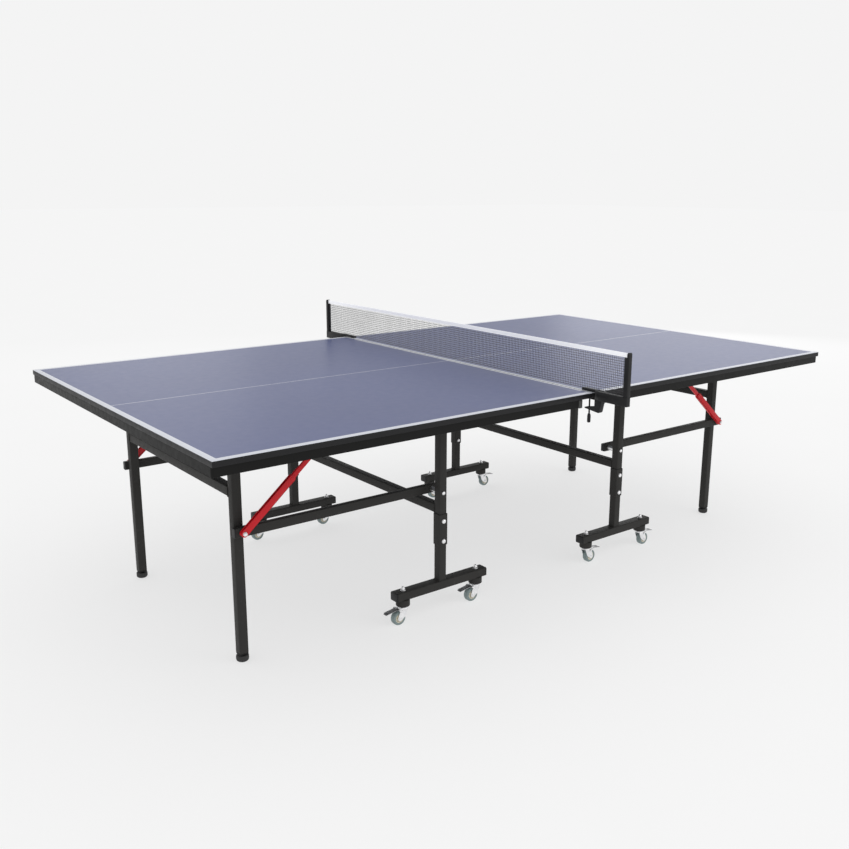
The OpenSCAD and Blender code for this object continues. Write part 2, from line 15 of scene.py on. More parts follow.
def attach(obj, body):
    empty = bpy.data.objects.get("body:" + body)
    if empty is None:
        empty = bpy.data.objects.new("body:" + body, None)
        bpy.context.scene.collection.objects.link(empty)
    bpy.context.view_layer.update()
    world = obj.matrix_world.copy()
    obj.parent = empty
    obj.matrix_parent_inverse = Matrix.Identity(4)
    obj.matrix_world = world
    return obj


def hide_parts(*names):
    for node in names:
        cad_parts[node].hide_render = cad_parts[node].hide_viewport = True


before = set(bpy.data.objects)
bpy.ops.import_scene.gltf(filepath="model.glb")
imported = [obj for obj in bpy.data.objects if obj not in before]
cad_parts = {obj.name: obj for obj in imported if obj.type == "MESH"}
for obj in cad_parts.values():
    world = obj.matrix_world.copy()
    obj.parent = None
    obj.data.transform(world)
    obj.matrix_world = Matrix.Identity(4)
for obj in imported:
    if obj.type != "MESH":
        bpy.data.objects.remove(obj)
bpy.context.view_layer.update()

MM = 0.001
SIDES = {"left": -1, "right": 1}
ROWS = {"near": -1, "far": 1}
ENDS = {"inner": -1, "outer": 1}

# ---------- camera ----------

PICTURE = 849
SENSOR = 36.0
FOCAL_PX = 953.1
CENTRE_X = 438.4
CENTRE_Y = 424.5
CAMERA_AT = (-2.3292, -2.8946, 1.4218)
YAW, PITCH, ROLL = math.radians(38.11), math.radians(13.96), math.radians(0.30)


def add_camera():
    """Camera at the photograph's viewpoint: yaw turns from +Y towards +X, pitch looks down."""
    yaw, pitch, roll = YAW, PITCH, ROLL
    flat = math.cos(pitch)
    forward = Vector((math.sin(yaw) * flat, math.cos(yaw) * flat, -math.sin(pitch)))
    level = Vector((math.cos(yaw), -math.sin(yaw), 0))
    upright = level.cross(forward)
    right = level * math.cos(roll) + upright * math.sin(roll)
    up = upright * math.cos(roll) - level * math.sin(roll)
    data = bpy.data.cameras.new("camera")
    data.sensor_width = SENSOR
    data.lens = FOCAL_PX / PICTURE * SENSOR
    data.shift_x = (PICTURE / 2 - CENTRE_X) / PICTURE
    data.shift_y = (CENTRE_Y - PICTURE / 2) / PICTURE
    camera = bpy.data.objects.new("camera", data)
    turn = Matrix((right, up, -forward)).transposed()
    camera.matrix_world = Matrix.Translation(CAMERA_AT) @ turn.to_4x4()
    bpy.context.scene.collection.objects.link(camera)
    bpy.context.scene.camera = camera


add_camera()

# ---------- materials ----------


class Graph:
    """A small wrapper that adds shader nodes and links."""

    def __init__(self, name):
        self.material = bpy.data.materials.new(name)
        self.material.use_nodes = True
        self.nodes = self.material.node_tree.nodes
        self.links = self.material.node_tree.links
        self.shader = self.nodes["Principled BSDF"]
        self.place = self.add("ShaderNodeTexCoord").outputs["Object"]

    def add(self, kind, **values):
        node = self.nodes.new(kind)
        for key, value in values.items():
            setattr(node, key, value)
        return node

    def link(self, out, socket):
        self.links.new(out, socket)

    def noise(self, scale, detail=3.0, stretch=(1, 1, 1)):
        where = self.place
        if stretch != (1, 1, 1):
            mapping = self.add("ShaderNodeMapping")
            mapping.inputs["Scale"].default_value = stretch
            self.link(self.place, mapping.inputs["Vector"])
            where = mapping.outputs["Vector"]
        node = self.add("ShaderNodeTexNoise")
        node.inputs["Scale"].default_value = scale
        node.inputs["Detail"].default_value = detail
        self.link(where, node.inputs["Vector"])
        return node.outputs["Fac"]

    def ramp(self, value, stops):
        node = self.add("ShaderNodeValToRGB")
        bar = node.color_ramp
        while len(bar.elements) < len(stops):
            bar.elements.new(0.5)
        for element, (position, color) in zip(bar.elements, stops):
            element.position = position
            element.color = (*color, 1) if len(color) == 3 else color
        self.link(value, node.inputs["Fac"])
        return node.outputs["Color"]

    def spread(self, value, low, high):
        node = self.add("ShaderNodeMapRange")
        node.inputs["From Min"].default_value = 0.3
        node.inputs["From Max"].default_value = 0.7
        node.inputs["To Min"].default_value = low
        node.inputs["To Max"].default_value = high
        self.link(value, node.inputs["Value"])
        return node.outputs["Result"]

    def bump(self, value, strength, depth, after=None):
        node = self.add("ShaderNodeBump")
        node.inputs["Strength"].default_value = strength
        node.inputs["Distance"].default_value = depth
        self.link(value, node.inputs["Height"])
        if after is not None:
            self.link(after, node.inputs["Normal"])
        return node.outputs["Normal"]

    def mix(self, factor, a, b):
        node = self.add("ShaderNodeMix", data_type="RGBA")
        for name, value in (("Factor", factor), ("A", a), ("B", b)):
            socket = node.inputs[name]
            if isinstance(value, (float, int)):
                socket.default_value = value
            elif isinstance(value, tuple):
                socket.default_value = (*value, 1)
            else:
                self.link(value, socket)
        return node.outputs["Result"]

    def set(self, **values):
        for key, value in values.items():
            socket = self.shader.inputs[key.replace("_", " ")]
            if hasattr(value, "is_linked") or hasattr(value, "links"):
                self.link(value, socket)
            else:
                socket.default_value = value


def shade(color, factor):
    return tuple(min(1.0, c * factor) for c in color)


def coated(name, color, rough, grain=900, lift=0.00012, dirt=0.12, gloss=0.5):
    """Paint, powder coat or moulded plastic: slight colour drift, orange peel and uneven gloss."""
    g = Graph(name)
    wide = g.noise(6, 4)
    fine = g.noise(grain, 2)
    scuff = g.noise(60, 6)
    base = g.mix(wide, shade(color, 1 - dirt), shade(color, 1 + dirt))
    rubbed = g.ramp(scuff, [(0.62, (0, 0, 0)), (0.74, (1, 1, 1))])
    base = g.mix(rubbed, base, shade(color, 1 + 2.2 * dirt))
    uneven = g.spread(scuff, rough - 0.05, rough + 0.07)
    g.set(Base_Color=base, Roughness=uneven, Specular_IOR_Level=gloss)
    g.set(Normal=g.bump(fine, 0.35, lift))
    return g.material


def plated(name, color, rough):
    """Zinc plate or bare steel: fine brushed streaks with a slightly patchy passivation."""
    g = Graph(name)
    streak = g.noise(220, 4, (1, 1, 9))
    patch = g.noise(45, 3)
    base = g.mix(g.spread(patch, 0.0, 1.0), shade(color, 0.86), color)
    g.set(Base_Color=base, Metallic=1.0, Roughness=g.spread(streak, rough - 0.07, rough + 0.1))
    g.set(Normal=g.bump(streak, 0.25, 0.00006))
    return g.material


def painted_board(name, color, rough=0.36, gloss=0.35):
    """Rolled table paint: matt satin film with a fine eggshell texture and faint ball marks."""
    g = Graph(name)
    wide = g.noise(1.6, 3)
    fine = g.noise(1300, 2)
    marks = g.noise(38, 5)
    base = g.mix(g.spread(wide, 0.0, 1.0), shade(color, 0.96), shade(color, 1.04))
    ball_marks = g.ramp(marks, [(0.68, (0, 0, 0)), (0.84, (0.2, 0.2, 0.2))])
    base = g.mix(ball_marks, base, shade(color, 1.2))
    uneven = g.spread(marks, rough - 0.01, rough + 0.02)
    g.set(Base_Color=base, Roughness=uneven, Specular_IOR_Level=gloss)
    g.set(Normal=g.bump(fine, 0.10, 0.00006))
    return g.material


def woven(name, color, rough, pitch, painted_glow=0.0):
    """Woven tape or braided cord: crossing threads in colour and bump, with an optional emission that
    paints a glow of light onto the cloth.
    """
    g = Graph(name)
    waves = []
    for direction in ("Y", "Z"):
        wave = g.add("ShaderNodeTexWave", wave_type="BANDS", bands_direction=direction)
        wave.inputs["Scale"].default_value = pitch
        wave.inputs["Distortion"].default_value = 0.6
        g.link(g.place, wave.inputs["Vector"])
        waves.append(wave.outputs["Fac"])
    cross = g.add("ShaderNodeMath", operation="MULTIPLY")
    g.link(waves[0], cross.inputs[0])
    g.link(waves[1], cross.inputs[1])
    weave = cross.outputs["Value"]
    soil = g.noise(14, 4)
    base = g.mix(weave, shade(color, 0.86), color)
    soiled = g.ramp(soil, [(0.45, (0, 0, 0)), (0.8, (0.5, 0.5, 0.5))])
    base = g.mix(soiled, base, shade(color, 0.84))
    g.set(Base_Color=base, Roughness=rough, Normal=g.bump(weave, 0.5, 0.0002))
    # The emission is a painted glow: it makes the cloth brighter than its lighting would.
    g.set(Sheen_Weight=0.2, Emission_Color=(0.90, 0.93, 1.0, 1), Emission_Strength=painted_glow)
    return g.material


def rubber(name, color, rough=0.6):
    """Moulded rubber with fine pitting and dusty high spots."""
    g = Graph(name)
    pits = g.noise(520, 3)
    dust = g.noise(70, 5)
    dusty = g.ramp(dust, [(0.4, (0, 0, 0)), (0.75, (1, 1, 1))])
    base = g.mix(dusty, color, shade(color, 1.35))
    g.set(Base_Color=base, Roughness=g.spread(dust, rough, rough + 0.15))
    g.set(Normal=g.bump(pits, 0.4, 0.00015))
    return g.material


TOP_BLUE = (0.062, 0.082, 0.212)
mat_top = painted_board("top_paint", TOP_BLUE)
mat_line = painted_board("line_paint", (0.64, 0.66, 0.72), 0.36)
mat_edge = coated("board_edge", (0.011, 0.011, 0.012), 0.45, grain=700, gloss=0.2)
mat_under = coated("board_underside", (0.075, 0.080, 0.090), 0.62, grain=300, dirt=0.2)
FRAME_BLACK = (0.0370, 0.0360, 0.0345)
mat_frame = coated("black_powder_coat", FRAME_BLACK, 0.42, grain=1100, dirt=0.15, gloss=0.06)
# Darker copy of the frame's black coat: the extra darkness is painted shade for the apron tucked under
# the board's edge.
APRON_SHADED_BLACK = (0.0075, 0.0075, 0.0072)
mat_apron_shaded = coated("apron_coat_painted_shade", APRON_SHADED_BLACK, 0.45, grain=1100, dirt=0.2, gloss=0.12)
mat_plate = coated("grey_coat", (0.060, 0.060, 0.058), 0.45, grain=900, dirt=0.15, gloss=0.3)
mat_red = coated("red_paint", (0.56, 0.0045, 0.012), 0.40, grain=900, gloss=0.3)
mat_zinc = plated("zinc_plate", (0.95, 0.95, 0.96), 0.30)
mat_pedal = plated("pedal_steel", (0.36, 0.36, 0.37), 0.36)
PLASTIC = (0.010, 0.010, 0.011)
mat_plastic = coated("black_plastic", PLASTIC, 0.45, grain=1500, lift=0.0002, dirt=0.15, gloss=0.25)
mat_tyre = rubber("wheel_tread", (0.17, 0.215, 0.215), 0.55)
mat_hub = coated("wheel_hub", (0.62, 0.58, 0.47), 0.42, grain=900, dirt=0.08)
mat_foot = rubber("foot_rubber", (0.014, 0.014, 0.014), 0.5)
# The tape's emission strength of 0.22 is painted light that brightens the tape beyond what its lamps
# give.
mat_tape = woven("net_tape", (0.97, 0.97, 0.99), 0.75, 260, painted_glow=0.22)
mat_thread = woven("net_thread", (0.020, 0.020, 0.026), 0.7, 900)

# ---------- mesh building ----------


def rounded_rect(width, height, radius, steps=4):
    """Outline of a rectangle with round corners, anticlockwise, centred on the origin."""
    points = []
    for turn, (sx, sy) in enumerate(((1, 1), (-1, 1), (-1, -1), (1, -1))):
        cx, cy = sx * (width / 2 - radius), sy * (height / 2 - radius)
        for k in range(steps + 1):
            a = math.pi / 2 * (turn + k / steps)
            points.append((cx + radius * math.cos(a), cy + radius * math.sin(a)))
    return points


def arc(cx, cy, radius, start, end, steps):
    """Points on an arc, in degrees."""
    step = (end - start) / steps
    angles = [math.radians(start + step * k) for k in range(steps + 1)]
    return [(cx + radius * math.cos(a), cy + radius * math.sin(a)) for a in angles]


def ngon(radius, count):
    """Corners of a regular polygon about the origin, anticlockwise from +X."""
    angles = [2 * math.pi * k / count for k in range(count)]
    return [(radius * math.cos(a), radius * math.sin(a)) for a in angles]


def stadium(length, width, steps=10):
    """Slot-shaped outline from the origin to (length, 0), with round ends."""
    r = width / 2
    return arc(length, 0, r, -90, 90, steps) + arc(0, 0, r, 90, 270, steps)


# Axes that a prism's outline and its length take: (first, second, along).
ALONG_X = Matrix(((0, 0, 1), (1, 0, 0), (0, 1, 0))).to_4x4()
ALONG_Y = Matrix(((1, 0, 0), (0, 0, 1), (0, 1, 0))).to_4x4()
ALONG_Z = Matrix.Identity(4)


class Shape:
    """Closed shells in millimetres, gathered into one mesh."""

    def __init__(self):
        self.mesh = bmesh.new()

    def take(self, part, slot=0, bevel=0.0, steps=2, at=None, limit=35):
        """Adds a shell after softening its sharp edges and placing it."""
        bmesh.ops.recalc_face_normals(part, faces=part.faces)
        if slot is not None:
            for face in part.faces:
                face.material_index = slot
        if bevel:
            least = math.radians(limit)
            sharp = [e for e in part.edges if e.is_manifold and e.calc_face_angle(0) > least]
            rounding = {"offset": bevel, "segments": steps, "profile": 0.5, "affect": "EDGES"}
            bmesh.ops.bevel(part, geom=sharp, clamp_overlap=True, **rounding)
        if at is not None:
            bmesh.ops.transform(part, matrix=at, verts=part.verts)
            if at.determinant() < 0:
                bmesh.ops.reverse_faces(part, faces=part.faces)
        holder = bpy.data.meshes.new("holder")
        part.to_mesh(holder)
        part.free()
        self.mesh.from_mesh(holder)
        bpy.data.meshes.remove(holder)
        return self

    def prism(self, outline, low, high, axes=ALONG_Z, **options):
        """Outline pushed along one axis from low to high."""
        part = bmesh.new()
        rings = [[part.verts.new(axes @ Vector((x, y, z))) for x, y in outline] for z in (low, high)]
        count = len(outline)
        part.faces.new(rings[0])
        part.faces.new(rings[1])
        for i in range(count):
            j = (i + 1) % count
            part.faces.new((rings[0][i], rings[0][j], rings[1][j], rings[1][i]))
        return self.take(part, **options)

    def box(self, low, high, **options):
        outline = [(low[0], low[1]), (high[0], low[1]), (high[0], high[1]), (low[0], high[1])]
        return self.prism(outline, low[2], high[2], **options)

    def lathe(self, profile, segments=32, ripple=None, **options):
        """Profile of (radius, height) turned about Z.

        ripple(angle, radius, height) may change the radius, for flutes and scallops.
        """
        part = bmesh.new()
        rings = []
        for radius, height in profile:
            if radius < 1e-6:
                rings.append([part.verts.new((0, 0, height))])
                continue
            ring = []
            for k in range(segments):
                a = 2 * math.pi * k / segments
                r = ripple(a, radius, height) if ripple else radius
                ring.append(part.verts.new((r * math.cos(a), r * math.sin(a), height)))
            rings.append(ring)
        closed = len(rings[0]) > 1 and len(rings[-1]) > 1
        pairs = list(zip(rings, rings[1:])) + ([(rings[-1], rings[0])] if closed else [])
        for one, two in pairs:
            for k in range(segments):
                n = (k + 1) % segments
                if len(one) == 1 and len(two) == 1:
                    continue
                if len(one) == 1:
                    part.faces.new((one[0], two[k], two[n]))
                elif len(two) == 1:
                    part.faces.new((one[k], one[n], two[0]))
                else:
                    part.faces.new((one[k], one[n], two[n], two[k]))
        return self.take(part, **options)

    def sweep(self, section, path, closed=False, up=Vector((0, 0, 1)), **options):
        """Section of (across, up) points carried along a path and kept square to it."""
        part = bmesh.new()
        path = [Vector(p) for p in path]
        count = len(path)
        rings = []
        for i, point in enumerate(path):
            before = path[i - 1] if closed or i > 0 else point
            after = path[(i + 1) % count] if closed or i < count - 1 else point
            one = (point - before).normalized() if before != point else None
            two = (after - point).normalized() if after != point else None
            heading = ((one or two) + (two or one)).normalized()
            side = heading.cross(up).normalized()
            top = side.cross(heading).normalized()
            stretch = 1.0
            if one and two:
                stretch = 1 / max(0.5, math.cos(one.angle(two) / 2))
            rings.append([part.verts.new(point + side * (x * stretch) + top * y) for x, y in section])
        size = len(section)
        spans = count if closed else count - 1
        for i in range(spans):
            one, two = rings[i], rings[(i + 1) % count]
            for k in range(size):
                n = (k + 1) % size
                part.faces.new((one[k], one[n], two[n], two[k]))
        if not closed:
            part.faces.new(rings[0])
            part.faces.new(rings[-1])
        return self.take(part, **options)

    def tube(self, start, end, width, height, radius=3.0, up=Vector((0, 0, 1)), slot=0, ends=0.6):
        """Rounded rectangular tube between two points."""
        start, end = Vector(start), Vector(end)
        along = (end - start).normalized()
        side = along.cross(up).normalized()
        top = side.cross(along)
        frame_at = Matrix((side, top, along)).transposed().to_4x4()
        at = Matrix.Translation(start) @ frame_at
        outline = rounded_rect(width, height, radius)
        part = bmesh.new()
        length = (end - start).length
        rings = []
        for z, inset in ((0, ends), (ends, 0), (length - ends, 0), (length, ends)):
            fx, fy = 1 - 2 * inset / width, 1 - 2 * inset / height
            rings.append([part.verts.new((x * fx, y * fy, z)) for x, y in outline])
        for one, two in zip(rings, rings[1:]):
            for i in range(len(outline)):
                j = (i + 1) % len(outline)
                part.faces.new((one[i], one[j], two[j], two[i]))
        part.faces.new(rings[0])
        part.faces.new(rings[-1])
        return self.take(part, slot=slot, at=at)

    def weld(self, outline, at, size=1.8):
        """Weld bead: a lumpy round bead that follows an outline where two tubes meet."""
        rng = random.Random(len(outline) + round(at.translation.length))
        path = []
        count = len(outline)
        for i in range(count):
            a, b = outline[i], outline[(i + 1) % count]
            pieces = max(1, round(math.dist(a, b) / 4))
            for k in range(pieces):
                t = k / pieces
                wobble = rng.uniform(-0.25, 0.25)
                path.append((a[0] + (b[0] - a[0]) * t, a[1] + (b[1] - a[1]) * t, wobble))
        return self.sweep(ngon(size, 6), path, closed=True, at=at)

    def hexagon(self, across, low, high, chamfer=0.8, **options):
        """Hex head or nut with chamfered corners."""
        outline = ngon(across / math.sqrt(3), 6)
        return self.prism(outline, low, high, bevel=chamfer, steps=1, **options)


def make(shape, name, body, materials, flip_x=False, flip_y=False, angle=38):
    """Turns a shape into an object, mirrored as asked, that rides on a body."""
    scale = Matrix.Diagonal((-MM if flip_x else MM, -MM if flip_y else MM, MM, 1))
    copy = shape.mesh.copy()
    bmesh.ops.transform(copy, matrix=scale, verts=copy.verts)
    if flip_x != flip_y:
        bmesh.ops.reverse_faces(copy, faces=copy.faces)
    mesh = bpy.data.meshes.new(name)
    copy.to_mesh(mesh)
    copy.free()
    for polygon in mesh.polygons:
        polygon.use_smooth = True
    mesh.set_sharp_from_angle(angle=math.radians(angle))
    for material in materials:
        mesh.materials.append(material)
    piece = bpy.data.objects.new(name, mesh)
    bpy.context.scene.collection.objects.link(piece)
    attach(piece, body)
    return piece


def at_y(x, y, z, toward=1):
    """Placement whose local Z points along Y, outward or inward."""
    turn = Matrix.Rotation(-toward * math.pi / 2, 4, "X")
    return Matrix.Translation((x, y, z)) @ turn


def dome(radius, height, steps=5):
    """Profile of a domed bolt head, from its rim up to its crown."""
    angles = [math.pi / 2 * k / steps for k in range(steps)]
    return [(radius * math.cos(a), height * math.sin(a)) for a in angles]


def bolt_head(shape, at, radius, height):
    """Domed head on a short rim."""
    rim = height * 0.35
    profile = [(0, 0), (radius - 0.4, 0), (radius, 0.4), (radius, rim)]
    profile += [(r, rim + h) for r, h in dome(radius, height - rim)[1:]] + [(0, height)]
    shape.lathe(profile, 28, at=at)


def washer(shape, at, radius, thick):
    c = 0.3
    rim = [(radius - c, 0), (radius, c), (radius, thick - c), (radius - c, thick)]
    shape.lathe([(0, 0)] + rim + [(0, thick)], 28, at=at)


# ---------- sizes that the shapes share ----------

TABLE_Z = 760.0  # playing surface
BOARD_Z = 742.0  # board's underside
HALF_L = 1370.0
HALF_W = 762.5
APRON_W = 757.5  # centre line to the apron's outer face
APRON_Z = 715.0  # apron's lower edge
APRON_X = 47.0  # apron's inner end
CROSS_Y = 738.0  # half length of the members across the apron
SCREW_Z = 740.0  # flange screws
LINE = 20.0
UP_X = 440.0  # uprights
UP_Y = 500.0
CART_RAIL_Z = 372.0
UPPER_END = 303.0  # where the upper tube of an upright ends, inside the sleeve
LOWER_END = 301.5  # where the lower tube ends
LEG_X = 1145.0
LEG_Y = 410.0
LEG_RAIL_Z = 545.0
FOLD_Z = 698.0
TIE_Z = 430.0
TIE_Y = 441.0
TIE_ENDS = (423.0, 1167.0)
BRACE_Y = 460.0
BRACE_TOP = (800.0, 725.0)
BRACE_LOWER = 215.0
STEM = 158.0  # upright to caster stem
BEAM_HALF = 191.0
BEAM_Z = 102.0
BEAM_W, BEAM_H = 40.0, 30.0
TUBE = 30.0


# ---------- board ----------


def board_shape():
    """Board with painted lines as faces of their own, a lipping band and a soft top edge."""
    shape = Shape()
    part = bmesh.new()
    x0, x1, y1 = 3.0, HALF_L, HALF_W
    soft = 1.0
    net_line = 9.0
    xs = [x0 + soft, x0 + net_line, x1 - LINE, x1 - soft]
    ys = [-y1 + soft, -y1 + LINE, -1.5, 1.5, y1 - LINE, y1 - soft]
    grid = [[part.verts.new((x, y, TABLE_Z)) for y in ys] for x in xs]
    for i in range(len(xs) - 1):
        for j in range(len(ys) - 1):
            face = part.faces.new((grid[i][j], grid[i + 1][j], grid[i + 1][j + 1], grid[i][j + 1]))
            line = i == 0 or i == len(xs) - 2 or j in (0, 2, len(ys) - 2)
            face.material_index = 1 if line else 0
    border = [grid[i][0] for i in range(len(xs))]
    border += [grid[-1][j] for j in range(1, len(ys))]
    border += [grid[i][-1] for i in range(len(xs) - 2, -1, -1)]
    border += [grid[0][j] for j in range(len(ys) - 2, 0, -1)]

    def pushed(value, low, high, out):
        """Moves a value that lies on either edge outward, and leaves any other as it is."""
        if value < low + 0.01:
            return low - out
        if value > high - 0.01:
            return high + out
        return value

    def drop(vert, out, z):
        x = pushed(vert.co.x, x0 + soft, x1 - soft, out)
        y = pushed(vert.co.y, -y1 + soft, y1 - soft, out)
        return part.verts.new((x, y, z))

    levels = [(soft * 0.7, TABLE_Z - soft * 0.3, 1), (soft, TABLE_Z - soft, 1)]
    levels += [(soft, BOARD_Z + soft, 2), (soft * 0.7, BOARD_Z + soft * 0.3, 2), (0, BOARD_Z, 2)]
    ring = border
    for out, z, slot in levels:
        lower = [drop(v, out, z) for v in border]
        for k in range(len(ring)):
            n = (k + 1) % len(ring)
            part.faces.new((ring[k], ring[n], lower[n], lower[k])).material_index = slot
        ring = lower
    part.faces.new(ring).material_index = 3
    return shape.take(part, slot=None)


def add_boards():
    shape = board_shape()
    for side, sign in SIDES.items():
        piece = make(
            shape, f"{side}_board", f"{side}_tabletop",
            [mat_top, mat_line, mat_edge, mat_under], flip_x=sign < 0,
        )
        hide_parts(f"{side}_tabletop")


add_boards()

# ---------- apron frame ----------


def side_plate(shape, outline_xz, y0, y1, bevel=0.6, slot=0, steps=2):
    """Plate across Y, its outline given as (x, z)."""
    shape.prism(outline_xz, y0, y1, axes=ALONG_Y, bevel=bevel, slot=slot, steps=steps)


def ear_outline(x, z, radius, top):
    return [(x - radius, top)] + arc(x, z, radius, 180, 360, 14) + [(x + radius, top)]


def apron_shape():
    shape = Shape()
    r = 9.0
    corner = [(HALF_L - r + dx, APRON_W - r + dy) for dx, dy in arc(0, 0, r, 90, 0, 8)]
    half = [(APRON_X, APRON_W)] + corner
    path = half + [(x, -y) for x, y in reversed(half)]
    # L section: skin 2 mm thick and a 20 mm flange under the board, drawn (inward, up)
    skin = [(0.0, 0.4), (0.4, 0.0), (1.6, 0.0), (2.0, 0.4), (2.0, 24.0), (3.0, 25.0)]
    flange = [(20.0, 25.0), (20.0, 26.9), (0.6, 26.9), (0.0, 26.3)]
    shape.sweep(skin + flange, [(x, y, APRON_Z) for x, y in path])
    inner = [(0.0, 0.0), (2.0, 0.0), (2.0, 17.5), (20.0, 17.9), (20.0, 19.9), (0.0, 19.9)]
    shape.sweep(inner, [(APRON_X, -CROSS_Y, 722), (APRON_X, CROSS_Y, 722)])
    for x in (UP_X, LEG_X):
        shape.tube((x, -CROSS_Y, 732), (x, CROSS_Y, 732), 40, 19.8, 2.5)
    for sign in (1, -1):
        y = sign * BRACE_Y
        shape.box((UP_X + 19, y - 11, 739), (LEG_X - 19, y + 11, 741.9), bevel=0.4)
        for s in (-1, 1):
            c = y + s * 6.5
            side_plate(shape, ear_outline(BRACE_TOP[0], BRACE_TOP[1], 9, 741), c - 1.25, c + 1.25, 0.4)
        for x, yy in ((UP_X, UP_Y), (LEG_X, LEG_Y)):
            for s in (-1, 1):
                a = sign * yy + s * 16.5
                b = a + s * 4.0
                side_plate(shape, ear_outline(x, FOLD_Z, 15, 723), min(a, b), max(a, b), 0.7)
    return shape


def apron_screw_shape():
    """Screws that hold the flange to the board, and the brackets' bolt heads."""
    shape = Shape()
    down = Matrix.Rotation(math.pi, 4, "X")
    for sign in (1, -1):
        for k in range(7):
            x = APRON_X + 60 + k * 195
            bolt_head(shape, Matrix.Translation((x, sign * (APRON_W - 12), SCREW_Z)) @ down, 4.5, 2.6)
        for x in (UP_X, LEG_X):
            for y in (120, 330, 620):
                bolt_head(shape, Matrix.Translation((x, sign * y, 722.1)) @ down, 4.5, 2.6)
        for s in (1, -1):
            y = sign * BRACE_Y + s * 7.75
            bolt_head(shape, at_y(BRACE_TOP[0], y, BRACE_TOP[1], s), 6, 3.6)
    for y in range(-600, 601, 240):
        bolt_head(shape, Matrix.Translation((HALF_L - 12, y, SCREW_Z)) @ down, 4.5, 2.6)
    return shape


def end_plate_shape():
    """Plates that close the apron's sides beside the net."""
    shape = Shape()
    for sign in (1, -1):
        y0, y1 = sorted((sign * (APRON_W - 0.2), sign * (APRON_W + 1.4)))
        x0, x1, z0, z1 = APRON_X - 0.6, APRON_X + 16, APRON_Z - 2, APRON_Z + 25
        outline = [(x0, z0), (x1, z0), (x1, z1), (x0, z1)]
        side_plate(shape, outline, y0, y1, 0.5)
    return shape


def pivot_pin_shape():
    """Fold and leg pins: shank, washer and domed head at each end."""
    shape = Shape()
    for x, y in ((UP_X, UP_Y), (LEG_X, LEG_Y)):
        for sign in (1, -1):
            c = sign * y
            shape.lathe([(0, -20.4), (5, -20.4), (5, 20.4), (0, 20.4)], 24, at=at_y(x, c, FOLD_Z))
            for s in (1, -1):
                start = at_y(x, c + s * 20.6, FOLD_Z, s)
                washer(shape, start, 8, 1.1)
                bolt_head(shape, start @ Matrix.Translation((0, 0, 1.1)), 6.6, 2.2)
    return shape


def add_aprons():
    apron, screws = apron_shape(), apron_screw_shape()
    pins, plates = pivot_pin_shape(), end_plate_shape()
    for side, sign in SIDES.items():
        body = f"{side}_tabletop"
        # The apron takes the darker black, which paints in the shade under the board's overhang.
        piece = make(apron, f"{side}_apron", body, [mat_apron_shaded], flip_x=sign < 0)
        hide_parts(f"{side}_apron_frame")
        make(screws, f"{side}_apron_screws", body, [mat_zinc], flip_x=sign < 0)
        make(plates, f"{side}_apron_end_plates", body, [mat_plate], flip_x=sign < 0)
        piece = make(pins, f"{side}_pivots", body, [mat_zinc], flip_x=sign < 0)
        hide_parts(f"{side}_pivot_pins")


add_aprons()

# ---------- cart ----------


def pinned_outline(x, z0):
    """Side outline of a tube whose top is round about the pivot."""
    h = TUBE / 2
    return [(x - h, z0), (x + h, z0)] + arc(x, FOLD_Z, h, 0, 180, 14)


def square_weld(shape, at, side=TUBE):
    shape.weld(rounded_rect(side + 1.2, side + 1.2, 3.4, 3), at)


def upright_shape():
    shape = Shape()
    h = TUBE / 2
    for sign in (1, -1):
        y = sign * UP_Y
        side_plate(shape, pinned_outline(UP_X, UPPER_END), y - h, y + h, bevel=2.8, steps=3)
        square_weld(shape, at_y(UP_X, sign * (UP_Y - h - 0.6), CART_RAIL_Z, -sign))
    reach = UP_Y - h + 1
    shape.tube((UP_X, -reach, CART_RAIL_Z), (UP_X, reach, CART_RAIL_Z), TUBE, TUBE)
    return shape


def beam_shape():
    shape = Shape()
    for sign in (1, -1):
        y = sign * UP_Y
        x0, x1 = UP_X - BEAM_HALF, UP_X + BEAM_HALF
        shape.tube((x0, y, BEAM_Z), (x1, y, BEAM_Z), BEAM_W, BEAM_H, 3.5)
        shape.tube((UP_X, y, BEAM_Z + 14), (UP_X, y, LOWER_END), TUBE, TUBE, up=Vector((1, 0, 0)))
        square_weld(shape, Matrix.Translation((UP_X, y, BEAM_Z + 15.4)))
        for s in (-1, 1):
            profile = [(0, 0), (22.5, 0), (23.6, 0.5), (24, 1.6), (24, 22.6), (0, 22.6)]
            shape.lathe(profile, 40, at=Matrix.Translation((UP_X + s * STEM, y, 65)))
    return shape


def sleeve_shape():
    shape = Shape()
    for sign in (1, -1):
        y = sign * UP_Y
        shape.tube((UP_X, y, 245), (UP_X, y, 356), 36, 36, 4.5, up=Vector((1, 0, 0)), ends=1.2)
    return shape


def beam_cap_shape():
    shape = Shape()
    for sign in (1, -1):
        for s in (1, -1):
            x = UP_X + s * BEAM_HALF
            y = sign * UP_Y
            outline = rounded_rect(BEAM_W, BEAM_H, 4)
            steps = [(0.0, 0.0), (2.2, 0.0), (3.3, 0.9), (4.0, 2.6)]
            shell = bmesh.new()
            rings = []
            for out, inset in steps:
                fx, fz = 1 - 2 * inset / BEAM_W, 1 - 2 * inset / BEAM_H
                corners = [(x + s * out, y + a * fx, BEAM_Z + b * fz) for a, b in outline]
                rings.append([shell.verts.new(corner) for corner in corners])
            for one, two in zip(rings, rings[1:]):
                for i in range(len(outline)):
                    j = (i + 1) % len(outline)
                    shell.faces.new((one[i], one[j], two[j], two[i]))
            shell.faces.new(rings[0])
            shell.faces.new(rings[-1])
            shape.take(shell)
    return shape


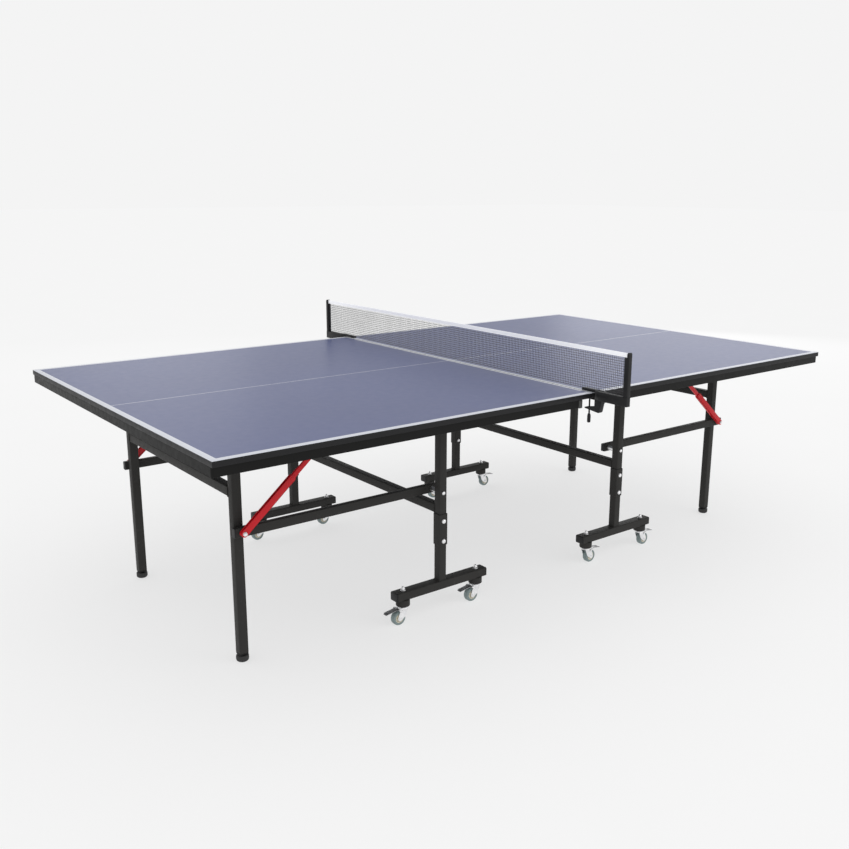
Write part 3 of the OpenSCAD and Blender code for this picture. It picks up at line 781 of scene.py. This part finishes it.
def cart_bolt_shape():
    shape = Shape()
    for sign in (1, -1):
        y = sign * UP_Y
        for z in (260, 331):
            out = at_y(UP_X, y + sign * 18, z, sign)
            washer(shape, out, 8, 1.2)
            bolt_head(shape, out @ Matrix.Translation((0, 0, 1.2)), 7.4, 3.8)
            inward = at_y(UP_X, y - sign * 18, z, -sign)
            washer(shape, inward, 7, 1.0)
            shape.hexagon(11.6, 1.0, 5.0, at=inward)
        out = at_y(UP_X, y + sign * 15, TIE_Z, sign)
        bolt_head(shape, out, 6.5, 5)
        spacer = at_y(UP_X, sign * 468.15, TIE_Z)
        half = [(0, 16.7), (8.4, 16.7), (9, 16.1)]
        shape.lathe([(r, -z) for r, z in half] + half[::-1], 28, at=spacer)
        shape.hexagon(11, 0, 4.9, at=at_y(UP_X, sign * 430.7, TIE_Z, -sign))
        for s in (-1, 1):
            at = Matrix.Translation((UP_X + s * STEM, y, 0))
            race = [(12.5, 61.4), (15.5, 61.9), (17.4, 62.9), (18, 64.1), (17.6, 64.9)]
            shape.lathe([(0, 61.4)] + race + [(0, 64.9)], 36, at=at)
            rivet = [(0, 52.6), (6.8, 52.6), (8, 53.6), (8, 55.4), (0, 55.4)]
            shape.lathe(rivet, 28, at=at)
            shape.lathe([(0, 55), (4.9, 55), (4.9, 62), (0, 62)], 20, at=at)
            washer(shape, at @ Matrix.Translation((0, 0, 117)), 9, 1.4)
            shape.hexagon(14, 118.4, 125.4, at=at)
            cap = [(5.9 * math.cos(a), 125.6 + 5.9 * math.sin(a)) for a in (0, 0.35, 0.7, 1.05, 1.35)]
            shape.lathe([(0, 125), (5.6, 125)] + cap + [(0, 131.4)], 28, at=at)
    return shape


def add_carts():
    parts = (
        ("uprights", "upright_frame", upright_shape(), "black_frame", mat_frame),
        ("beams", "caster_beams", beam_shape(), "black_frame", mat_frame),
        ("sleeves", "joiner_sleeves", sleeve_shape(), "black_frame", mat_frame),
        ("beam_caps", "beam_end_caps", beam_cap_shape(), "black_plastic", mat_plastic),
        ("cart_fixings", "cart_bolts", cart_bolt_shape(), "zinc_steel", mat_zinc),
    )
    for side, sign in SIDES.items():
        for name, node, shape, slot, material in parts:
            piece = make(shape, f"{side}_{name}", f"{side}_cart", [material], flip_x=sign < 0)
            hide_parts(f"{side}_{node}")


add_carts()

# ---------- casters, drawn about the stem's axis with the wheel trailing along +X ----------

AXLE = (20.0, 25.0)


def fork_shape():
    shape = Shape()
    crown = [(5.1, 57.6), (9.5, 57.6), (11, 56.6), (15.2, 55.8), (16.6, 56.4), (17, 57.6)]
    crown += [(16.4, 58.9), (13, 60.6), (5.1, 60.6)]
    shape.lathe(crown, 36)
    back = [(-12, 60.6), (-11.6, 57.5), (-7.5, 46), (-3, 34.5), (-1, 30), (0.5, 27.8), (8, 22.5)]
    front = arc(AXLE[0], AXLE[1], 9, 235, 355, 10) + [(27.5, 31), (24, 41), (19, 53), (16, 60.6)]
    for s in (1, -1):
        y0, y1 = (11.5, 14.0) if s > 0 else (-14.0, -11.5)
        side_plate(shape, back + front, y0, y1, 0.5)
        at = at_y(AXLE[0], s * 14, AXLE[1], s)
        washer(shape, at, 6.5, 0.8)
        shape.hexagon(9.4, 0.8, 2.4, chamfer=0.5, at=at)
        shape.lathe([(0, 0), (2.5, 0), (2.5, 2.6), (2.1, 3.1), (0, 3.1)], 16, at=at_y(14, s * 14, 50, s))
    shape.lathe([(0, -14), (4, -14), (4, 14), (0, 14)], 20, at=at_y(AXLE[0], 0, AXLE[1]))
    return shape


def wheel_shape():
    """Tread of soft rubber on a pale hub with a dished, ribbed web."""
    shape = Shape()
    at = at_y(AXLE[0], 0, AXLE[1])
    tread = [(16, -10), (21.8, -10), (23.4, -9.3), (24.6, -7.6), (25, -5)]
    shape.lathe(tread + [(r, -z) for r, z in reversed(tread)], 48, at=at, slot=0)
    hub = [(4.1, -9.8), (7.2, -9.8), (7.6, -9.2), (7.9, -7), (12.6, -7), (13.2, -8.8)]
    hub += [(14, -9.4), (16.02, -9.4)]
    shape.lathe(hub + [(r, -z) for r, z in reversed(hub)], 48, at=at, slot=1)
    for k in range(6):
        a = math.radians(60 * k)
        rib = Matrix.Rotation(a, 4, "Z")
        for s in (1, -1):
            low, high = (6.9, 8.6) if s > 0 else (-8.6, -6.9)
            shape.box((7.4, -0.9, low), (13.6, 0.9, high), bevel=0.3, steps=1, at=at @ rib, slot=1)
    return shape


def pedal_shape():
    """Pressed pedal: bright root between two ears, narrower grey ribbed tread, lip curled down."""
    shape = Shape()
    part = bmesh.new()
    stations = [23, 25, 28, 31, 34, 38, 44, 50, 56, 62, 67, 70.5, 73, 74]
    across = [-1, -0.8, -0.5, 0, 0.5, 0.8, 1]
    sheet = 2.0

    def half_width(x):
        if x < 26:
            return 16.5
        if x < 36:
            t = (x - 26) / 10
            return 16.5 - 5.5 * (3 * t * t - 2 * t ** 3)
        if x > 68:
            return 11 - 3.5 * ((x - 68) / 6) ** 2
        return 11

    def height(x, t):
        crown = 0.5 * (1 - t * t)
        slope = -(x - 19) * 8 / 55
        lip = -2.6 * max(0, (x - 68) / 6) ** 2
        return 60.0 + slope + lip + crown - 0.4

    rows = []
    for layer in (0, -sheet):
        grid = [[(x, half_width(x) * t, height(x, t) + layer) for t in across] for x in stations]
        rows.append([[part.verts.new(point) for point in line] for line in grid])
    for grid in rows:
        for i in range(len(stations) - 1):
            for j in range(len(across) - 1):
                part.faces.new((grid[i][j], grid[i + 1][j], grid[i + 1][j + 1], grid[i][j + 1]))
    top, low = rows
    last = len(across) - 1
    for i in range(len(stations) - 1):
        for j in (0, last):
            part.faces.new((top[i][j], top[i + 1][j], low[i + 1][j], low[i][j]))
    for j in range(last):
        for i in (0, len(stations) - 1):
            part.faces.new((top[i][j], top[i][j + 1], low[i][j + 1], low[i][j]))
    for face in part.faces:
        face.material_index = 0 if face.calc_center_median().x > 27 else 1
    shape.take(part, slot=None, bevel=0.5, steps=1, limit=60)
    for x in (48, 53, 58, 63):
        z = height(x, 0)
        shape.box((x - 0.9, -8, z - 0.4), (x + 0.9, 8, z + 0.35), bevel=0.3, steps=1)
    outline = arc(14, 50, 3.6, 120, 300, 12) + [(22, 50.5), (28, 56.0), (26, 58.3), (21.5, 58.0)]
    for s in (1, -1):
        y0, y1 = (14.5, 16.5) if s > 0 else (-16.5, -14.5)
        side_plate(shape, outline, y0, y1, 0.5, slot=1)
    return shape


def add_casters():
    fork, wheel, pedal = fork_shape(), wheel_shape(), pedal_shape()
    for side, sx in SIDES.items():
        for row, sy in ROWS.items():
            for end, along in ENDS.items():
                key = f"{side}_{row}_{end}"
                where = Matrix.Translation((UP_X + along * STEM, UP_Y, 0))
                for part, node, shape, slot, materials in (
                    ("caster_fork", "fork", fork, "zinc_steel", [mat_zinc]),
                    ("caster_wheel", "wheel", wheel, "wheel_rubber", [mat_tyre, mat_hub]),
                    ("brake_pedal", "brake", pedal, "dark_steel", [mat_pedal, mat_zinc]),
                ):
                    placed = Shape()
                    placed.take(shape.mesh.copy(), slot=None, at=where)
                    node = f"{key}_{node}"
                    piece = make(placed, f"{key}_{part}", node, materials, sx < 0, sy < 0)
                    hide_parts(node)


add_casters()

# ---------- legs, ties and braces ----------


def leg_shape():
    shape = Shape()
    h = TUBE / 2
    for sign in (1, -1):
        y = sign * LEG_Y
        side_plate(shape, pinned_outline(LEG_X, 26.5), y - h, y + h, bevel=2.8, steps=3)
        square_weld(shape, at_y(LEG_X, sign * (LEG_Y - h - 0.6), LEG_RAIL_Z, -sign))
        outline = rounded_rect(TUBE, TUBE, 3.2)
        shape.prism(outline, 24, 26.6, bevel=0.5, slot=1, at=Matrix.Translation((LEG_X, y, 0)))
    reach = LEG_Y - h + 1
    shape.tube((LEG_X, -reach, LEG_RAIL_Z), (LEG_X, reach, LEG_RAIL_Z), TUBE, TUBE)
    return shape


def stud_shape():
    """Studs that carry the tie bars and braces, each with a washer and a locking nut."""
    shape = Shape()
    for sign in (1, -1):
        face = at_y(LEG_X, sign * (LEG_Y + 15), TIE_Z, sign)
        washer(shape, face, 9, 5.7)
        shape.lathe([(0, 0), (4, 0), (4, 42.4), (0, 42.4)], 20, at=face)
        washer(shape, face @ Matrix.Translation((0, 0, 42.8)), 7, 1.0)
        shape.hexagon(11, 43.8, 47.8, at=face)
        bolt_head(shape, face @ Matrix.Translation((0, 0, 47.4)), 3.8, 1.4)
    return shape


def foot_shape():
    """Levelling foot: rubber cap with a scalloped grip and a stem into the leg."""
    shape = Shape()

    def grip(angle, radius, height):
        if radius < 15 or not 5 < height < 18:
            return radius
        return radius - 0.45 * (1 + math.cos(24 * angle))

    profile = [(0, 0), (13, 0), (16.2, 0.8), (18.4, 2.8), (19.6, 5.2), (20, 8), (20, 16)]
    profile += [(19.3, 18.6), (17.6, 20.4), (15, 21), (0, 21)]
    shape.lathe(profile, 96, ripple=grip, at=Matrix.Translation((LEG_X, LEG_Y, 0)))
    stem = [(0, 20.5)]
    for k in range(13):
        z = 21 + k * 1.5
        stem += [(5, z), (4.3, z + 0.75)]
    shape.lathe(stem + [(0, 40)], 20, at=Matrix.Translation((LEG_X, LEG_Y, 0)), slot=1)
    return shape


def tie_shape():
    shape = Shape()
    for sign in (1, -1):
        y = sign * TIE_Y
        shape.tube((TIE_ENDS[0], y, TIE_Z), (TIE_ENDS[1], y, TIE_Z), 20, 30, 2.6)
    return shape


def tie_cap_shape():
    shape = Shape()
    inner, outer = TIE_ENDS
    for sign in (1, -1):
        at = Matrix.Translation((0, sign * TIE_Y, TIE_Z))
        for x0, x1 in ((inner - 3, inner + 0.2), (outer - 0.2, outer + 3)):
            shape.prism(rounded_rect(20, 30, 3), x0, x1, axes=ALONG_X, bevel=1.0, at=at)
    return shape


def brace_axes(distance, sign):
    """Placement along the brace: X runs up the brace, Y across the table, Z to its fold side."""
    angle = math.atan2(BRACE_TOP[1] - TIE_Z, BRACE_TOP[0] - LEG_X)
    turn = Matrix.Rotation(-angle, 4, "Y")
    stud = Matrix.Translation((LEG_X, sign * BRACE_Y, TIE_Z))
    return stud @ turn @ Matrix.Translation((distance, 0, 0))


def brace_lower_shape():
    shape = Shape()
    for sign in (1, -1):
        at = brace_axes(0, sign)
        for s in (1, -1):
            y0, y1 = (4.5, 7.0) if s > 0 else (-7.0, -4.5)
            shape.prism(stadium(BRACE_LOWER, 22), y0, y1, axes=ALONG_Y, bevel=0.7, at=at)
        shape.box((13, -7, 9), (BRACE_LOWER, 7, 11), bevel=0.7, at=at)
    return shape


def brace_upper_shape():
    shape = Shape()
    length = math.dist(BRACE_TOP, (LEG_X, TIE_Z)) - BRACE_LOWER
    for sign in (1, -1):
        at = brace_axes(BRACE_LOWER, sign)
        shape.prism(stadium(length, 16), -4, 4, axes=ALONG_Y, bevel=1.4, at=at)
    return shape


def knee_shape():
    shape = Shape()
    for sign in (1, -1):
        at = brace_axes(BRACE_LOWER, sign)
        for s in (1, -1):
            face = at @ at_y(0, s * 6.8, 0, s)
            bolt_head(shape, face, 6, 1.6)
    return shape


def add_legs():
    legs, studs, ties, caps = leg_shape(), stud_shape(), tie_shape(), tie_cap_shape()
    lower, upper, knees, foot = brace_lower_shape(), brace_upper_shape(), knee_shape(), foot_shape()
    for side, sign in SIDES.items():
        flip = sign < 0
        body = f"{side}_legs"
        piece = make(legs, f"{side}_legs_piece", body, [mat_frame, mat_plastic], flip)
        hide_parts(f"{side}_leg_frame")
        make(studs, f"{side}_leg_studs", body, [mat_zinc], flip)
        piece = make(ties, f"{side}_ties_piece", f"{side}_ties", [mat_frame], flip)
        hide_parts(f"{side}_tie_bars")
        make(caps, f"{side}_tie_caps", f"{side}_ties", [mat_plastic], flip)
        piece = make(lower, f"{side}_braces_lower", f"{side}_brace_lower", [mat_red], flip)
        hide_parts(f"{side}_brace_lower_links")
        make(knees, f"{side}_brace_knees", f"{side}_brace_lower", [mat_red], flip)
        piece = make(upper, f"{side}_braces_upper", f"{side}_brace_upper", [mat_red], flip)
        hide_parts(f"{side}_brace_upper_links")
        for row, sy in ROWS.items():
            body = f"{side}_{row}_foot"
            piece = make(foot, f"{body}_piece", body, [mat_foot, mat_zinc], flip, sy < 0)
            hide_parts(body)


add_legs()

# ---------- net set ----------

NET_Y = 898.0
POST_OUT = 915.0
TAPE_Y = 905.7
NET_TOP = TABLE_Z + 152.5
NET_LOW = TABLE_Z + 9.5
TAPE = 14.5
POST_TOP = NET_TOP + 2.0
ARM_TOP = TABLE_Z + 8.5
MESH_PITCH = 8.0
THREAD = 0.7  # thread's radius
ARM_HALF = 9.0
CLAMP_X = (3.0, 21.0)  # the clamps grip the right half only
SCREW_X = 12.0
SCREW_Y = HALF_W - 26.0
KNOB_LOW, KNOB_TOP = 651.0, 682.0


def strand(shape, path):
    shape.sweep(ngon(THREAD, 4), path, up=Vector((1, 0, 0)))


def net_mesh_shape():
    """Knotted net: upright and level threads, each a little off straight."""
    shape = Shape()
    rng = random.Random(11)
    top = NET_TOP - TAPE + 1
    low = NET_LOW + 1.2
    span = NET_Y - 3
    count = round(2 * span / MESH_PITCH)
    for k in range(1, count):
        y = -span + 2 * span * k / count
        x = 0.12 * (-1) ** k
        lean = rng.uniform(-0.5, 0.5)
        strand(shape, [(x, y, low), (x, y + lean, (low + top) / 2), (x, y, top)])
    rows = round((top - NET_LOW) / MESH_PITCH)
    steps = 24
    for k in range(1, rows):
        z = NET_LOW + (top - NET_LOW) * k / rows
        path = []
        for i in range(steps + 1):
            sag = rng.uniform(-0.4, 0.4) if 0 < i < steps else 0
            path.append((-0.12, -span + 2 * span * i / steps, z + sag))
        strand(shape, path)
    return shape


def net_tape_shape():
    """White tape folded over the top cord, with hems along its lower edge."""
    shape = Shape()
    hem = [(0.95, 0.0), (1.0, 3.0), (0.8, 3.6), (0.9, 4.4)]
    face = hem + [(0.9, 10.0), (1.0, 12.0), (0.75, 13.8), (0.3, TAPE)]
    section = face + [(-x, z) for x, z in reversed(face)]
    steps = 48
    path = [(0, -TAPE_Y + 2 * TAPE_Y * k / steps, NET_TOP - TAPE) for k in range(steps + 1)]
    shape.sweep(section, path)
    return shape


def net_edge_shape():
    """Bottom cord from post to post and the side bands beside the posts."""
    shape = Shape()
    shape.sweep(ngon(0.95, 8), [(0, y, NET_LOW + 1.0) for y in (-NET_Y + 0.5, 0, NET_Y - 0.5)])
    for sign in (1, -1):
        y = sign * (NET_Y - 4)
        band = [(0, y, NET_LOW + 0.5), (0, y, NET_TOP - TAPE + 1)]
        flat = [(0.8, 3.5), (-0.8, 3.5), (-0.8, -3.5), (0.8, -3.5)]
        shape.sweep(flat, band, up=Vector((0, 1, 0)))
    return shape


def post_shape():
    """Far post: rounded body with a low shoulder under the tape and a pointed top outside it."""
    shape = Shape()
    shoulder = NET_TOP - 15
    outline = [(NET_Y, ARM_TOP), (POST_OUT, ARM_TOP), (POST_OUT, POST_TOP - 5), (POST_OUT - 3, POST_TOP)]
    outline += [(POST_OUT - 6, POST_TOP), (TAPE_Y + 0.3, NET_TOP - 3)]
    outline += [(TAPE_Y + 0.3, shoulder), (NET_Y, shoulder)]
    shape.prism(outline, -8, 8, axes=ALONG_X, bevel=1.4, steps=3)
    return shape


def clamp_shape():
    """Far clamp: tongue over the right board, jaw under it and an arm out to the post."""
    shape = Shape()
    inner = HALF_W + 3.5
    outer = inner + 30
    tip = HALF_W - 56
    jaw_tip = HALF_W - 40
    arm_low = BOARD_Z - 4
    left_x, right_x = CLAMP_X
    outline = [(tip, TABLE_Z + 0.5), (tip, ARM_TOP - 1), (tip + 1, ARM_TOP), (outer, ARM_TOP)]
    outline += [(outer, BOARD_Z - 14), (inner + 23, BOARD_Z - 45), (inner + 19, BOARD_Z - 49)]
    outline += [(jaw_tip, BOARD_Z - 42), (jaw_tip, BOARD_Z - 38), (inner, BOARD_Z - 30)]
    outline += [(inner, TABLE_Z + 0.5)]
    shape.prism(outline, left_x, right_x, axes=ALONG_X, bevel=1.3, steps=3)
    plan = [(left_x, inner), (right_x, inner), (right_x, outer), (ARM_HALF, outer + 30)]
    plan += [(ARM_HALF, POST_OUT), (-ARM_HALF, POST_OUT), (-ARM_HALF, outer)]
    shape.prism(plan, arm_low, ARM_TOP, bevel=1.3, steps=3)
    return shape


def clamp_screw_shape():
    """Far clamp screw: threaded spindle, pad under the board and a fluted knob."""
    shape = Shape()
    at = Matrix.Translation((SCREW_X, SCREW_Y, 0))
    profile = [(0, KNOB_TOP - 1)]
    for k in range(34):
        z = KNOB_TOP - 0.5 + k * 1.6
        profile += [(3, z), (2.5, z + 0.8)]
    shape.lathe(profile + [(2.6, 738.5), (0, 738.5)], 20, at=at)
    shape.lathe([(0, 738.7), (6.4, 738.7), (7, 739.3), (7, 741.2), (6.4, 741.7), (0, 741.7)], 28, at=at)

    def flutes(angle, radius, height):
        if radius < 5.2:
            return radius
        return radius - 0.35 * (1 + math.cos(10 * angle))

    low, top = KNOB_LOW, KNOB_TOP
    knob = [(0, low), (3.6, low), (5.1, low + 0.8), (5.8, low + 2.4), (6, low + 5)]
    knob += [(6, top - 8), (5.4, top - 4), (4.4, top - 1.2), (3.6, top), (0, top)]
    shape.lathe(knob, 60, ripple=flutes, at=at, bevel=0)
    return shape


def add_net():
    mesh = make(net_mesh_shape(), "net_mesh_piece", "net", [mat_thread])
    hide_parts("net")
    tape = make(net_tape_shape(), "net_top_tape", "net", [mat_tape], angle=60)
    edges = make(net_edge_shape(), "net_edge_cords", "net", [mat_thread])
    post, clamp, screw = post_shape(), clamp_shape(), clamp_screw_shape()
    for row, sign in ROWS.items():
        near = sign < 0
        body = f"{row}_net_clamp"
        piece = make(post, f"{row}_post", body, [mat_plastic], flip_y=near)
        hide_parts(f"{row}_net_post")
        piece = make(clamp, f"{row}_clamp", body, [mat_plastic], flip_y=near)
        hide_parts(f"{row}_net_clamp")
        node = f"{row}_clamp_screw"
        piece = make(screw, f"{row}_screw_piece", node, [mat_plastic], flip_y=near)
        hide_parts(node)


add_net()

# ---------- floor and light ----------


PALE = 0.905  # world brightness


def floor_material():
    """Pale studio floor with a glow of its own, so that shadows on it stay faint."""
    g = Graph("floor")
    tone = g.mix(g.noise(2, 3), (0.32, 0.32, 0.32), (0.33, 0.33, 0.33))
    g.set(Base_Color=tone, Roughness=0.8)
    g.set(Specular_IOR_Level=0.0, Emission_Color=(1, 1, 1, 1), Emission_Strength=0.62)
    g.set(Normal=g.bump(g.noise(90, 3), 0.08, 0.0005))
    return g.material


def add_stage():
    mesh = bpy.data.meshes.new("floor")
    size = 60
    corners = [(-size, -size, 0), (size, -size, 0), (size, size, 0), (-size, size, 0)]
    mesh.from_pydata(corners, [], [(0, 1, 2, 3)])
    mesh.materials.append(floor_material())
    floor = bpy.data.objects.new("floor", mesh)
    bpy.context.scene.collection.objects.link(floor)

    world = bpy.data.worlds.new("studio")
    bpy.context.scene.world = world
    world.use_nodes = True
    background = world.node_tree.nodes["Background"]
    background.inputs["Color"].default_value = (PALE, PALE, PALE, 1)
    background.inputs["Strength"].default_value = 1.0

    # Each lamp's name, place, size in metres, power in watts and aim.
    for name, place, size, power, target in (
        ("side", (-3.0, -3.5, 4.0), 3.0, 5, (0, 0, 0.6)),
        ("front", (3.0, -5.0, 3.0), 3.5, 34, (0.3, 0, 0.5)),
        ("back_right", (5.6, 3.0, 1.8), 3.0, 18, (0.9, -0.2, 0.76)),
        ("back_left", (0.9, 5.6, 2.1), 2.0, 5, (-1.0, 0.3, 0.76)),
    ):
        data = bpy.data.lights.new(name, "AREA")
        data.shape = "DISK"
        data.size = size
        data.energy = power
        lamp = bpy.data.objects.new(name, data)
        lamp.visible_camera = False
        aim = Vector(target) - Vector(place)
        lamp.matrix_world = Matrix.Translation(place) @ aim.to_track_quat("-Z", "Y").to_matrix().to_4x4()
        bpy.context.scene.collection.objects.link(lamp)


add_stage()
bpy.context.scene.view_settings.view_transform = "Standard"
